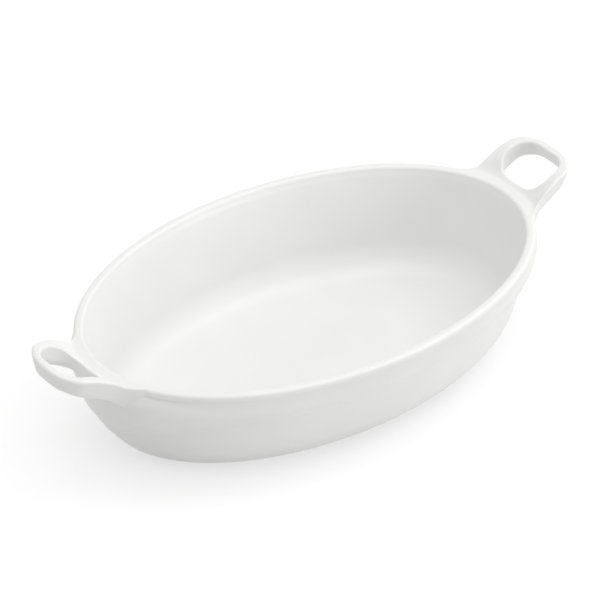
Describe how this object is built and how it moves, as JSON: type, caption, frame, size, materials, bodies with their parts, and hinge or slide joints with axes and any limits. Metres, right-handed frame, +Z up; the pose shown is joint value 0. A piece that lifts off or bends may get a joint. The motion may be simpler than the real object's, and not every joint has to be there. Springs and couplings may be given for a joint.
{
  "type": "oval gratin dish",
  "caption": "Deep oval gratin dish in white glazed ceramic, with a lipped rim and a raised loop handle luted to each end.",
  "frame": {"origin": "middle of the foot, on the surface that the dish stands on", "axes": "+X along the dish through both handles, +Y across the dish, +Z up"},
  "size_m": [0.3442, 0.18, 0.078],
  "materials": {
    "glaze": "soft gloss"
  },
  "bodies": {
    "root": {"dish_body": "glaze", "handle_left": "glaze", "handle_right": "glaze"}
  },
  "joints": []
}
